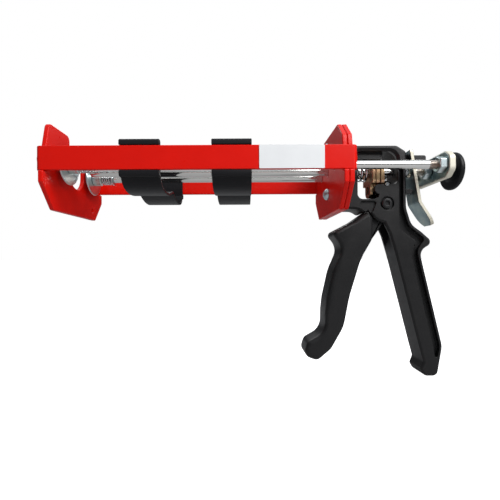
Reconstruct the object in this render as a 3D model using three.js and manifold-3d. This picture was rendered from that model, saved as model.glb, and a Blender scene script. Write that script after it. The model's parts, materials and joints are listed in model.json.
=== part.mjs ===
// Twin-cartridge caulking gun: a pressed-steel carriage for two cartridges side by side, three push rods,
// a cast body with a fixed handle, a trigger, a sliding grip-plate drive and a thumb release lever.
//
// Millimetres, +Z up. +X runs along the rods from the nozzle end to the pull knob, and Y = 0 is the plane
// between the two cartridges. The origin is on the inner face of the front plate, below the nozzle slot.

import * as THREE from "three";
import { mergeVertices } from "three/addons/utils/BufferGeometryUtils.js";
import Module from "manifold-3d";

const wasm = await Module();
wasm.setup();

// ---------------------------------------------------------------------------------- driving dimensions

const GAP = 0.3; // between pieces that touch
const RUNNING = 0.3; // radial clearance round a rod that slides
const SEAT_BELOW_RODS = 29; // from the rod axis down to the origin

// carriage
const BAY_LENGTH = 244.5; // front plate's inner face to the rear plates
const STRAP_INNER = 52; // mid-plane to the straps' inner faces
const STRAP_THICK = 3;
const STRAP_HEIGHT = 20;
const STRAP_DROP = 1.2; // strap's middle below the rod axis
const PLATE_THICK = 4;
const PLATE_SHOULDER = 5; // how far the plates stand out beyond the straps' inner faces, below them
const PLATE_BOTTOM = -42;
const FRONT_PLATE_TOP = 30.5;
const REAR_PLATE_TOP = 33;
const NOZZLE_SLOT_HALF = 13.8;
const NOZZLE_SLOT_BOTTOM = -16;
const HANG_HOLE_R = 2.2; // in the front plate's right shoulder
const HANG_HOLE_Y = 33;
const HANG_HOLE_Z = -31.6;
const TAB_REACH = 16; // strap ends folded in behind the plates
const RIVET_R = 2.6;
const RIVET_HEAD_R = 5;
const RIVET_DOME = 0.7;
const LABEL_LENGTH = 53.4;
const LABEL_FROM_REAR = 15.7; // rear plates' front face to the label
const LABEL_MARGIN = 0.35;

// cartridge saddles
const SADDLE_LENGTH = 33;
const SADDLE_WALL = 2.6;
const SADDLE_BEAD = 5.2; // rolls above and below the strap
const FRONT_SADDLE_AT = 60.7; // front edge, from the front plate
const REAR_SADDLE_AT = 136.4;
const TROUGH_DEPTH = 25.2; // below the rod axis, at the middle of the wall
const TROUGH_AT = 27; // lowest point, from the mid-plane
const HUMP_DEPTH = 19.6;

// plunger
const ROD_R = 4;
const ROD_SPACING = 25; // centre rod to side rod
const THREAD_R = 3.7;
const DISC_R = 17;
const DISC_THICK = 1.8;
const DISC_AT = 4; // disc's front face, from the front plate
const HUB_R = 7;
const HUB_LENGTH = 8.4;
const DISC_SPRING_LENGTH = 10;
const CENTRE_ROD_AT = 13.5; // centre rod's front end, from the front plate
const YOKE_BEHIND_POST = 27.7; // rear post to the yoke's front face
const YOKE_THICK = 6;
const YOKE_HALF_LENGTH = 33.5;
const YOKE_HALF_HEIGHT = 12;
const NUT_THICK = 6.4;
const NUT_ACROSS = 13;
const THREAD_LENGTH = 7; // bare thread in front of the lock nuts
const KNOB_R = 18;
const KNOB_THICK = 6;
const KNOB_NECK = 13.7;
const KNOB_NECK_R = 8;

// body casting: X from its mounting face, Z from the rod axis
const BODY_HALF = 12.5; // half its width
const BODY_TOP = 22;
const ARM_THICK = 5; // top arm
const BOX_LENGTH = 16.7; // front box that carries the return spring
const WINDOW_END = 54.4;
const POST_END = 62.7;
const LOWER_ARM_TOP = -28.5;
const CHEEK_GAP = 8; // half the space between the cheeks
const PIVOT_X = 44.4;
const PIVOT_Z = -32.7;
const CHEEK_R = 18; // cheeks' lower edge, about the pivot
const SNOUT_R = 4.6;
const SNOUT_X = 37.2;
const SNOUT_Z = -19.2;
const HANDLE_LIP = 3; // along the back edge of the handle
const HANDLE_GROOVE = 6.2;
const RELIEF_DEPTH = 4.5; // of the channel down the post and the handle
const FLANK_DEPTH = 2; // of the pocket beside the lower arm
const ARM_CHAMFER = 2.2; // along the window's upper edge
const BOLT_OFFSET = 22; // mounting bolts above and below the rod axis
const BOLT_R = 3;
const BOLT_REACH = 12; // into the casting
const BOLT_HEAD_R = 5.6;
const BOLT_HEAD_HEIGHT = 4.2;
const PIVOT_R = 3.4;
const PIVOT_HEAD_R = 5;
const PIVOT_HEAD_HEIGHT = 2.6;
const PIVOT_SINK_R = 6.4; // round recess that the head sits in
const PIVOT_SINK_DEPTH = 2;
const PIVOT_KEY = 4; // across the flats of its socket
const PIVOT_NUT_THICK = 4;

// drive
const SPRING_BORE_R = 11;
const SPRING_SEAT = 6.4; // floor of the spring's bore, from the mounting face
const SPRING_R = 8.9; // return spring's coil radius
const SPRING_WIRE_R = 1.05;
const SPRING_TURNS = 5.5;
const DRIVE_PLATE_AT = 30.4; // front face, from the body's mounting face
const DRIVE_PLATE_THICK = 3;
const GRIP_PLATE_THICK = 4;
const GRIP_HALF_WIDTH = 13;
const GRIP_BOTTOM = -13.4;
const GRIP_TOP = 9;
const GRIP_TAB_BOTTOM = -18.5; // middle of the grip plates, where the trigger's roller pushes
const TONGUE_HALF = 7;
const TONGUE_BOTTOM = -26;
const ROLLER_R = 4.5;
const ROLLER_ABOVE_PIVOT = 19.2;
const ROLLER_HALF = 4.6;
const ROLLER_PIN_R = 2;

// trigger
const TRIGGER_HALF = 14; // half its width at the grip
const TRIGGER_ROUNDING = 3.4; // along the grip's edges
const CORE_HALF = 7.3; // half its width between the cheeks

// release lever
const LEVER_HALF = 11;
const LEVER_THICK = 3;
const LEVER_TILT = THREE.MathUtils.degToRad(9.5);
const THUMB_TILT = THREE.MathUtils.degToRad(33);
const LEVER_X = 69; // middle of the strip where the hook holds it, from the body's mounting face
const LEVER_Z = 12;
const HOOK_HALF = 5.5;
const HOOK_HEIGHT = 5;
const RELEASE_SPRING_R = 7;
const RELEASE_WIRE_R = 0.5;
const RELEASE_TURNS = 3;

// derived places
const STRAP_TOP = STRAP_HEIGHT / 2 - STRAP_DROP;
const STRAP_BOTTOM = -STRAP_HEIGHT / 2 - STRAP_DROP;
const REAR_STACK = 2 * PLATE_THICK + GAP;
const BODY_X = BAY_LENGTH + REAR_STACK + GAP;
const GRIP_AT = DRIVE_PLATE_AT + DRIVE_PLATE_THICK + GAP;
const GRIP_END = GRIP_AT + 2 * GRIP_PLATE_THICK + GAP;
const ROLLER_X = GRIP_END + ROLLER_R + GAP;
const YOKE_AT = BODY_X + POST_END + YOKE_BEHIND_POST;

// ---------------------------------------------------------------------------------- materials

function finish(color, roughness, metalness) {
  return new THREE.MeshStandardMaterial({ color, roughness, metalness });
}
const RED_PAINT = finish(0xd0180d, 0.3, 0.1);
const BLACK_CAST = finish(0x1c1c1e, 0.45, 0.2);
const BLACK_PLASTIC = finish(0x17171a, 0.4, 0);
const CHROME = finish(0xd8dadb, 0.12, 1);
const ZINC = finish(0x9fa9ad, 0.35, 1);
const CHROMATE = finish(0x8f6f4d, 0.4, 0.9);
const SPRING_STEEL = finish(0xb4b7ba, 0.25, 1);
const LABEL_FILM = finish(0xf1f2ee, 0.5, 0);

// ---------------------------------------------------------------------------------- shape helpers

// Closed outline from corners [a, b, fillet radius]; a fillet is limited by the sides it joins.
function outline(corners, stepsPerQuarter = 6) {
  const count = corners.length;
  const at = (i) => new THREE.Vector2(corners[(i + count) % count][0], corners[(i + count) % count][1]);
  const points = [];
  for (let i = 0; i < count; i++) {
    const here = at(i);
    const radius = corners[i][2] ?? 0;
    if (!radius) {
      points.push(here);
      continue;
    }
    const back = at(i - 1).sub(here);
    const ahead = at(i + 1).sub(here);
    const longest = 0.49 * Math.min(back.length(), ahead.length());
    back.normalize();
    ahead.normalize();
    const half = Math.acos(THREE.MathUtils.clamp(back.dot(ahead), -1, 1)) / 2;
    const cut = Math.min(radius / Math.tan(half), longest);
    if (cut < 0.1) {
      points.push(here);
      continue;
    }
    const start = here.clone().addScaledVector(back, cut);
    const end = here.clone().addScaledVector(ahead, cut);
    const towards = back.clone().add(ahead).normalize();
    const centre = here.clone().addScaledVector(towards, cut / Math.cos(half));
    const from = Math.atan2(start.y - centre.y, start.x - centre.x);
    let sweep = Math.atan2(end.y - centre.y, end.x - centre.x) - from;
    if (sweep > Math.PI) sweep -= 2 * Math.PI;
    if (sweep < -Math.PI) sweep += 2 * Math.PI;
    const reach = start.distanceTo(centre);
    const steps = Math.max(1, Math.ceil((Math.abs(sweep) / (Math.PI / 2)) * stepsPerQuarter));
    for (let k = 0; k <= steps; k++) {
      const angle = from + (sweep * k) / steps;
      points.push(new THREE.Vector2(centre.x + reach * Math.cos(angle), centre.y + reach * Math.sin(angle)));
    }
  }
  return new THREE.Shape(points);
}

// Points on an arc, as sharp corners for outline().
function arc(cx, cy, radius, fromDegrees, toDegrees, steps) {
  return Array.from({ length: steps + 1 }, (_, k) => {
    const angle = THREE.MathUtils.degToRad(fromDegrees + ((toDegrees - fromDegrees) * k) / steps);
    return [cx + radius * Math.cos(angle), cy + radius * Math.sin(angle)];
  });
}

// Mirrors half an outline, given from top to bottom at a > 0, into a whole one.
function mirrored(half) {
  return [...half, ...half.map(([a, b, r]) => [-a, b, r]).reverse()];
}

function rectangle(a0, b0, a1, b1, radius = 0) {
  return outline([[a0, b0, radius], [a1, b0, radius], [a1, b1, radius], [a0, b1, radius]]);
}

// Outline in X and Z, extruded evenly either side of Y = 0, with edges rounded by bevel.
function prismY(shape, halfWidth, bevel = 0, bevelSteps = 2) {
  const geometry = new THREE.ExtrudeGeometry(shape, {
    depth: 2 * (halfWidth - bevel),
    bevelEnabled: bevel > 0,
    bevelThickness: bevel,
    bevelSize: bevel,
    bevelOffset: -bevel,
    bevelSegments: bevelSteps,
    steps: 1,
    curveSegments: 6,
  });
  geometry.translate(0, 0, bevel - halfWidth);
  return geometry.rotateX(Math.PI / 2);
}

// Outline in X and Z, extruded from one Y to another.
function prismBetween(shape, y0, y1) {
  const geometry = prismY(shape, (y1 - y0) / 2);
  return geometry.translate(0, (y0 + y1) / 2, 0);
}

// Outline in Y and Z, extruded from one X to another.
function prismX(shape, x0, x1, bevel = 0) {
  const geometry = new THREE.ExtrudeGeometry(shape, {
    depth: x1 - x0 - 2 * bevel,
    bevelEnabled: bevel > 0,
    bevelThickness: bevel,
    bevelSize: bevel,
    bevelOffset: -bevel,
    bevelSegments: 1,
    steps: 1,
    curveSegments: 8,
  });
  const toX = new THREE.Matrix4().makeBasis(
    new THREE.Vector3(0, 1, 0),
    new THREE.Vector3(0, 0, 1),
    new THREE.Vector3(1, 0, 0),
  );
  return geometry.translate(0, 0, bevel).applyMatrix4(toX).translate(x0, 0, 0);
}

// Body of revolution about a line along X, from [x, radius] pairs that start and end on the axis.
function turned(profile, y = 0, z = 0, sides = 24) {
  const points = profile.map(([x, radius]) => new THREE.Vector2(radius, x));
  const geometry = new THREE.LatheGeometry(points, sides);
  return geometry.rotateZ(-Math.PI / 2).translate(0, y, z);
}

function rod(x0, x1, radius, y = 0, z = 0, sides = 24) {
  return turned([[x0, 0], [x0, radius], [x1, radius], [x1, 0]], y, z, sides);
}

// The same about a line along Y, from [y, radius] pairs.
function turnedY(profile, x, z, sides = 24) {
  const points = profile.map(([y, radius]) => new THREE.Vector2(radius, y));
  return new THREE.LatheGeometry(points, sides).translate(x, 0, z);
}

function crossRod(y0, y1, radius, x, z, sides = 24) {
  return turnedY([[y0, 0], [y0, radius], [y1, radius], [y1, 0]], x, z, sides);
}

// Coil spring round a line along X, with its first and last turns closed up.
function coil(x0, x1, radius, wire, turns, y = 0, z = 0, perTurn = 11) {
  class Helix extends THREE.Curve {
    getPoint(t, target = new THREE.Vector3()) {
      const turn = turns * t;
      const closed = 0.8;
      const pitchShare = Math.min(Math.max((turn - closed) / (turns - 2 * closed), 0), 1);
      const flat = wire * 2.1 * (Math.min(turn, closed) + Math.max(turn - turns + closed, 0));
      const travel = x1 - x0 - 2 * wire - 4.2 * wire * closed;
      const angle = 2 * Math.PI * turn;
      return target.set(
        x0 + wire + flat + travel * pitchShare,
        y + radius * Math.cos(angle),
        z + radius * Math.sin(angle),
      );
    }
  }
  const section = new THREE.Shape();
  section.absarc(0, 0, wire, 0, 2 * Math.PI, false);
  return new THREE.ExtrudeGeometry(section, {
    steps: Math.round(turns * perTurn),
    curveSegments: 3,
    bevelEnabled: false,
    extrudePath: new Helix(),
  });
}

// ---------------------------------------------------------------------------------- booleans

function toSolid(geometry) {
  const bare = geometry.clone();
  bare.deleteAttribute("normal");
  bare.deleteAttribute("uv");
  const merged = mergeVertices(bare, 1e-4);
  return new wasm.Manifold(
    new wasm.Mesh({
      numProp: 3,
      vertProperties: new Float32Array(merged.attributes.position.array),
      triVerts: new Uint32Array(merged.index.array),
    }),
  );
}

function toGeometry(solid) {
  const mesh = solid.getMesh();
  const geometry = new THREE.BufferGeometry();
  geometry.setAttribute("position", new THREE.BufferAttribute(mesh.vertProperties, 3));
  geometry.setIndex(new THREE.BufferAttribute(mesh.triVerts, 1));
  return geometry;
}

const join = (...parts) => parts.map(toSolid).reduce((a, b) => a.add(b));
const cut = (solid, ...tools) => tools.map(toSolid).reduce((a, b) => a.subtract(b), solid);

// ---------------------------------------------------------------------------------- assembly

const gun = new THREE.Group();
gun.position.z = SEAT_BELOW_RODS;
const body = new THREE.Group();
body.position.x = BODY_X;
gun.add(body);

function place(group, name, material, geometry) {
  const mesh = new THREE.Mesh(geometry, material);
  mesh.name = name;
  group.add(mesh);
}

// ---------------------------------------------------------------------------------- carriage

const SHOULDER_TOP = STRAP_BOTTOM - GAP;
const RIVET_Y = STRAP_INNER + STRAP_THICK - TAB_REACH / 2;
const BESIDE_STRAP = STRAP_INNER - GAP;
const SHOULDER_Y = STRAP_INNER + PLATE_SHOULDER;

// Front plate: a U slot for the nozzles, shoulders below the straps, cut-off lower corners.
function frontPlate() {
  const slotCentre = NOZZLE_SLOT_BOTTOM + NOZZLE_SLOT_HALF;
  const slot = arc(0, slotCentre, NOZZLE_SLOT_HALF, 0, -90, 6);
  const half = [
    [NOZZLE_SLOT_HALF, FRONT_PLATE_TOP, 5],
    [BESIDE_STRAP - 5, FRONT_PLATE_TOP, 5],
    [BESIDE_STRAP, STRAP_TOP + 1.2],
    [BESIDE_STRAP, SHOULDER_TOP],
    [SHOULDER_Y, SHOULDER_TOP, 1.5],
    [SHOULDER_Y, SHOULDER_TOP - 9.5, 2],
    [SHOULDER_Y - 17, PLATE_BOTTOM, 3],
  ];
  const left = half.map(([a, b, r]) => [-a, b, r]).reverse();
  const shape = outline([...half, ...left, ...slot.slice().map(([a, b]) => [-a, b]), ...slot.reverse().slice(1)]);
  let plate = toSolid(prismX(shape, -PLATE_THICK, 0));
  for (const side of [-1, 1]) {
    plate = cut(plate, rod(-PLATE_THICK - 1, 1, RIVET_R + GAP, side * RIVET_Y, -STRAP_DROP, 16));
  }
  return toGeometry(cut(plate, rod(-PLATE_THICK - 1, 1, HANG_HOLE_R, HANG_HOLE_Y, HANG_HOLE_Z, 12)));
}

// Rear plate: one of two alike, drilled for the rods, the mounting bolts and the rivets.
function rearPlate(x0) {
  const shape = outline(
    mirrored([
      [35, REAR_PLATE_TOP, 3],
      [BESIDE_STRAP - 1.7, 19, 3],
      [BESIDE_STRAP, STRAP_TOP + 1.2],
      [BESIDE_STRAP, SHOULDER_TOP],
      [SHOULDER_Y, SHOULDER_TOP, 1.5],
      [SHOULDER_Y, SHOULDER_TOP - 10.5, 2],
      [SHOULDER_Y - 17, PLATE_BOTTOM, 3],
    ]),
  );
  let plate = toSolid(prismX(shape, x0, x0 + PLATE_THICK));
  const drill = (radius, y, z) => rod(x0 - 1, x0 + PLATE_THICK + 1, radius, y, z, 20);
  for (const y of [-ROD_SPACING, 0, ROD_SPACING]) plate = cut(plate, drill(ROD_R + RUNNING, y, 0));
  for (const z of [-BOLT_OFFSET, BOLT_OFFSET]) plate = cut(plate, drill(BOLT_R + GAP, 0, z));
  for (const side of [-1, 1]) plate = cut(plate, drill(RIVET_R + GAP, side * RIVET_Y, -STRAP_DROP));
  return toGeometry(plate);
}

// Strap: a flat bar whose ends fold in over the outer faces of the plates, where rivets hold them.
function strap(side) {
  const outer = STRAP_INNER + STRAP_THICK;
  const front = -PLATE_THICK - GAP;
  const rear = BAY_LENGTH + REAR_STACK + GAP;
  const inset = outer - TAB_REACH;
  const bend = STRAP_THICK + 0.8;
  const path = [
    [front, inset],
    [front, STRAP_INNER, 0.8],
    [rear, STRAP_INNER, 0.8],
    [rear, inset],
    [rear + STRAP_THICK, inset],
    [rear + STRAP_THICK, outer, bend],
    [front - STRAP_THICK, outer, bend],
    [front - STRAP_THICK, inset],
  ];
  const geometry = new THREE.ExtrudeGeometry(outline(path, 4), { depth: STRAP_HEIGHT, bevelEnabled: false });
  geometry.translate(0, 0, STRAP_BOTTOM);
  if (side < 0) geometry.rotateX(Math.PI).translate(0, 0, -2 * STRAP_DROP);
  let bar = toSolid(geometry);
  for (const x of [front - STRAP_THICK / 2, rear + STRAP_THICK / 2]) {
    bar = cut(bar, rod(x - STRAP_THICK, x + STRAP_THICK, RIVET_R + GAP, side * RIVET_Y, -STRAP_DROP, 16));
  }
  return toGeometry(bar);
}

// Rivet through a strap's folded end and the plates behind it: a domed head outside, flush in the bay.
function rivet(side, headAt, flushAt) {
  const out = Math.sign(headAt - flushAt);
  const dome = RIVET_DOME * out;
  const profile = [
    [flushAt, 0],
    [flushAt, RIVET_R],
    [headAt, RIVET_R],
    [headAt, RIVET_HEAD_R],
    [headAt + dome * 0.55, RIVET_HEAD_R * 0.85],
    [headAt + dome, RIVET_HEAD_R * 0.45],
    [headAt + dome, 0],
  ];
  return turned(out > 0 ? profile : profile.reverse(), side * RIVET_Y, -STRAP_DROP, 16);
}

function carriage() {
  place(gun, "front_plate", RED_PAINT, frontPlate());
  place(gun, "rear_plate_inner", RED_PAINT, rearPlate(BAY_LENGTH));
  place(gun, "rear_plate_outer", RED_PAINT, rearPlate(BAY_LENGTH + PLATE_THICK + GAP));
  for (const [side, name] of [[-1, "left"], [1, "right"]]) {
    place(gun, `strap_${name}`, RED_PAINT, strap(side));
    const frontEnd = -PLATE_THICK - 2 * GAP - STRAP_THICK;
    const rearEnd = BAY_LENGTH + REAR_STACK + 2 * GAP + STRAP_THICK;
    place(gun, `front_rivet_${name}`, RED_PAINT, rivet(side, frontEnd, -GAP));
    place(gun, `rear_rivet_${name}`, RED_PAINT, rivet(side, rearEnd, BAY_LENGTH + GAP));
  }
}

// Blank label on the outside of the left strap.
function label() {
  const x1 = BAY_LENGTH - LABEL_FROM_REAR;
  const shape = rectangle(
    x1 - LABEL_LENGTH, STRAP_BOTTOM + LABEL_MARGIN, x1, STRAP_TOP - LABEL_MARGIN, 0.8,
  );
  const y = -STRAP_INNER - STRAP_THICK - GAP;
  place(gun, "label", LABEL_FILM, prismBetween(shape, y - 0.3, y));
}

// ---------------------------------------------------------------------------------- saddles

// Saddle: a sprung sheet with two troughs, whose ends clip round both straps.
function saddle(x0) {
  const middle = new THREE.SplineCurve(
    [
      [STRAP_INNER - GAP - SADDLE_WALL / 2, STRAP_BOTTOM - 2.6],
      [STRAP_INNER - 6.5, -TROUGH_DEPTH + 4.6],
      [STRAP_INNER - 14, -TROUGH_DEPTH + 1.2],
      [TROUGH_AT, -TROUGH_DEPTH],
      [TROUGH_AT / 2, -TROUGH_DEPTH + 1.4],
      [0, -HUMP_DEPTH],
    ].map(([y, z]) => new THREE.Vector2(y, z)),
  ).getPoints(18);
  const whole = [...middle, ...middle.slice(0, -1).reverse().map((p) => new THREE.Vector2(-p.x, p.y))];
  const sideOf = (sign) =>
    whole.map((p, i) => {
      const along = whole[Math.min(i + 1, whole.length - 1)].clone().sub(whole[Math.max(i - 1, 0)]).normalize();
      return new THREE.Vector2(p.x - sign * along.y * (SADDLE_WALL / 2), p.y + sign * along.x * (SADDLE_WALL / 2));
    });
  const sheet = new THREE.Shape([...sideOf(1), ...sideOf(-1).reverse()]);
  const inner = STRAP_INNER - GAP;
  const outer = STRAP_INNER + STRAP_THICK + 0.4;
  const clip = (side) => {
    const corners = [
      [inner - SADDLE_WALL, STRAP_TOP + GAP + SADDLE_BEAD, 2],
      [outer, STRAP_TOP + GAP + SADDLE_BEAD, 2.4],
      [outer, STRAP_TOP + GAP, 1],
      [inner, STRAP_TOP + GAP],
      [inner, STRAP_BOTTOM - GAP],
      [outer, STRAP_BOTTOM - GAP, 1],
      [outer, STRAP_BOTTOM - GAP - SADDLE_BEAD, 2.4],
      [inner - SADDLE_WALL, STRAP_BOTTOM - GAP - SADDLE_BEAD, 1],
    ];
    const shape = outline(corners.map(([y, z, r]) => [side * y, z, r]), 4);
    return prismX(shape, x0, x0 + SADDLE_LENGTH);
  };
  return toGeometry(join(prismX(sheet, x0, x0 + SADDLE_LENGTH), clip(-1), clip(1)));
}

// ---------------------------------------------------------------------------------- plunger

// Side rod: a peened head in front of the disc, and a thread at the yoke end.
function sideRod(y) {
  const shoulder = YOKE_AT - NUT_THICK - THREAD_LENGTH;
  return turned(
    [
      [DISC_AT - GAP - 1.6, 0],
      [DISC_AT - GAP - 1.6, 5],
      [DISC_AT - GAP - 0.6, 6],
      [DISC_AT - GAP, 6],
      [DISC_AT - GAP, ROD_R],
      [shoulder, ROD_R],
      [shoulder, THREAD_R],
      [YOKE_AT + YOKE_THICK + 1.5, THREAD_R],
      [YOKE_AT + YOKE_THICK + 1.5, 0],
    ],
    y,
  );
}

function centreRod() {
  const shoulder = YOKE_AT - NUT_THICK - THREAD_LENGTH;
  const end = YOKE_AT + YOKE_THICK + KNOB_NECK;
  return turned([
    [CENTRE_ROD_AT, 0],
    [CENTRE_ROD_AT, ROD_R - 0.8],
    [CENTRE_ROD_AT + 0.8, ROD_R],
    [shoulder, ROD_R],
    [shoulder, THREAD_R],
    [end, THREAD_R],
    [end, 0],
  ]);
}

// Ring round a rod, from [x, radius] pairs of its outside.
function collar(profile, hole, y, sides = 32) {
  const x0 = profile[0][0];
  const x1 = profile[profile.length - 1][0];
  return turned([[x0, hole], ...profile, [x1, hole], [x0, hole]], y, 0, sides);
}

function hexNut(x0, y) {
  const radius = NUT_ACROSS / Math.sqrt(3);
  const blank = prismX(outline(arc(y, 0, radius, 30, 330, 5)), x0, x0 + NUT_THICK, 0.5);
  return toGeometry(cut(toSolid(blank), rod(x0 - 1, x0 + NUT_THICK + 1, THREAD_R + GAP, y)));
}

function yoke() {
  const shape = outline(
    mirrored([
      [YOKE_HALF_LENGTH - 7, YOKE_HALF_HEIGHT, 5],
      [YOKE_HALF_LENGTH, YOKE_HALF_HEIGHT - 6, 5],
      [YOKE_HALF_LENGTH, -YOKE_HALF_HEIGHT + 6, 5],
      [YOKE_HALF_LENGTH - 7, -YOKE_HALF_HEIGHT, 5],
    ]),
  );
  let plate = toSolid(prismX(shape, YOKE_AT, YOKE_AT + YOKE_THICK, 0.6));
  for (const y of [-ROD_SPACING, 0, ROD_SPACING]) {
    plate = cut(plate, rod(YOKE_AT - 1, YOKE_AT + YOKE_THICK + 1, THREAD_R + GAP, y));
  }
  return toGeometry(plate);
}

// Knob: a mushroom that screws onto the end of the centre rod, open at the front only.
function pullKnob() {
  const x0 = YOKE_AT + YOKE_THICK + GAP;
  const face = YOKE_AT + YOKE_THICK + KNOB_NECK;
  const back = face + KNOB_THICK;
  const hole = THREAD_R + GAP;
  return turned(
    [
      [face + GAP, 0],
      [face + GAP, hole],
      [x0, hole],
      [x0, KNOB_NECK_R],
      [face - 2, KNOB_NECK_R],
      [face, KNOB_NECK_R + 2],
      [face, KNOB_R - 1],
      [face + 1, KNOB_R],
      [back - 2.2, KNOB_R],
      [back - 0.7, KNOB_R - 1],
      [back, KNOB_R - 3],
      [back, 0],
    ],
    0,
    0,
    32,
  );
}

function plunger() {
  const hole = ROD_R + GAP;
  for (const [side, name] of [[-1, "left"], [1, "right"]]) {
    const y = side * ROD_SPACING;
    const disc = DISC_AT + DISC_THICK;
    const hubEnd = disc + GAP + HUB_LENGTH;
    const springEnd = hubEnd + GAP + DISC_SPRING_LENGTH;
    place(gun, `side_rod_${name}`, CHROME, sideRod(y));
    const rim = [[DISC_AT, DISC_R - 0.5], [DISC_AT + 0.5, DISC_R], [disc, DISC_R]];
    place(gun, `push_disc_${name}`, ZINC, collar(rim, hole, y, 40));
    const hub = [[disc + GAP, HUB_R], [hubEnd - 1, HUB_R], [hubEnd, HUB_R - 1]];
    place(gun, `disc_hub_${name}`, ZINC, collar(hub, hole, y, 24));
    place(gun, `disc_spring_${name}`, SPRING_STEEL, coil(hubEnd + GAP, springEnd, ROD_R + 1.6, 0.7, 4.5, y, 0, 10));
    const ring = [[springEnd + GAP, ROD_R + 2.6], [springEnd + GAP + 1.4, ROD_R + 2.6]];
    place(gun, `spring_clip_${name}`, ZINC, collar(ring, hole, y, 20));
    place(gun, `lock_nut_${name}`, ZINC, hexNut(YOKE_AT - GAP - NUT_THICK, y));
  }
  place(gun, "centre_rod", CHROME, centreRod());
  place(gun, "lock_nut_centre", ZINC, hexNut(YOKE_AT - GAP - NUT_THICK, 0));
  place(gun, "yoke", ZINC, yoke());
  place(gun, "pull_knob", BLACK_PLASTIC, pullKnob());
}

// ---------------------------------------------------------------------------------- body casting

// Back edge of the fixed handle below its horn, moved forward by inset.
function handleBack(inset) {
  return [
    [12.6, -44.6, 9],
    [16, -60, 40],
    [24.5, -96, 60],
    [33.6, -135, 16],
  ].map(([x, z, r]) => [POST_END + x - inset, PIVOT_Z + z, r]);
}

// Side view of the casting: front box, top arm, rear post, cheeks and fixed handle in one outline.
function castingOutline() {
  const cheek = arc(PIVOT_X, PIVOT_Z, CHEEK_R, 262, 198, 8);
  return outline([
    [0, BODY_TOP, 2],
    [WINDOW_END - 0.5, BODY_TOP, 5],
    [POST_END, BODY_TOP - 5.6, 3.5],
    [POST_END, PIVOT_Z - 4, 20],
    [POST_END + 4.8, PIVOT_Z - 20, 14],
    [POST_END + 14, PIVOT_Z - 26.6, 8],
    [POST_END + 25.6, PIVOT_Z - 37, 4.5],
    ...handleBack(0),
    [POST_END + 28.6, PIVOT_Z - 162.8, 5],
    [POST_END + 16.5, PIVOT_Z - 162.8, 5],
    [POST_END + 12.6, PIVOT_Z - 156.2, 3],
    [POST_END + 15.5, PIVOT_Z - 149, 4],
    [POST_END + 12, PIVOT_Z - 136, 30],
    [POST_END - 10, PIVOT_Z - 48, 60],
    [POST_END - 15.5, PIVOT_Z - 29, 16],
    ...cheek,
    [BOX_LENGTH + 6.5, -42, 3],
    [BOX_LENGTH, -37.6, 10],
    [0, -37.6, 2],
  ]);
}

// Opening between the box, the top arm, the post and the lower arm.
function castingWindow() {
  return outline([
    [BOX_LENGTH, BODY_TOP - ARM_THICK, 2],
    [WINDOW_END, BODY_TOP - ARM_THICK, 14],
    [WINDOW_END, -14.2, 3],
    [PIVOT_X + 4, -14.2, 1.5],
    [PIVOT_X - 0.6, -16.6, 1],
    [PIVOT_X - 3, -15, 1],
    [SNOUT_X, SNOUT_Z + SNOUT_R],
    ...arc(SNOUT_X, SNOUT_Z, SNOUT_R, 100, 270, 8),
    [SNOUT_X - 1, SNOUT_Z - SNOUT_R - 3, 2],
    [SNOUT_X - 5, LOWER_ARM_TOP, 3],
    [BOX_LENGTH, LOWER_ARM_TOP, 5],
  ]);
}

// Space between the cheeks in which the trigger's core swings.
function triggerSpace() {
  return outline([
    [BOX_LENGTH + 1, -27.5, 1],
    [BOX_LENGTH + 1, -10],
    [WINDOW_END - 1, -10],
    [WINDOW_END - 1, PIVOT_Z - 18, 6],
    [PIVOT_X + 7.6, PIVOT_Z - 30],
    [PIVOT_X + 5.6, PIVOT_Z - 44],
    [PIVOT_X - 20, PIVOT_Z - 44],
    [PIVOT_X - 20, PIVOT_Z - 8],
    [BOX_LENGTH + 6, -36, 1],
  ]);
}

// Tool that chamfers the window's upper edge where it meets a flank.
function armChamfer(side) {
  const edge = outline([
    [BOX_LENGTH, 0],
    [WINDOW_END, 0],
    [WINDOW_END, BODY_TOP - ARM_THICK, 14],
    [BOX_LENGTH, BODY_TOP - ARM_THICK, 2],
  ]);
  const tool = new THREE.ExtrudeGeometry(edge, {
    depth: 1,
    bevelThickness: ARM_CHAMFER,
    bevelSize: ARM_CHAMFER,
    bevelSegments: 1,
    steps: 1,
  });
  return tool.rotateX(Math.PI / 2).translate(0, side < 0 ? -BODY_HALF : BODY_HALF + 1, 0);
}

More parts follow.
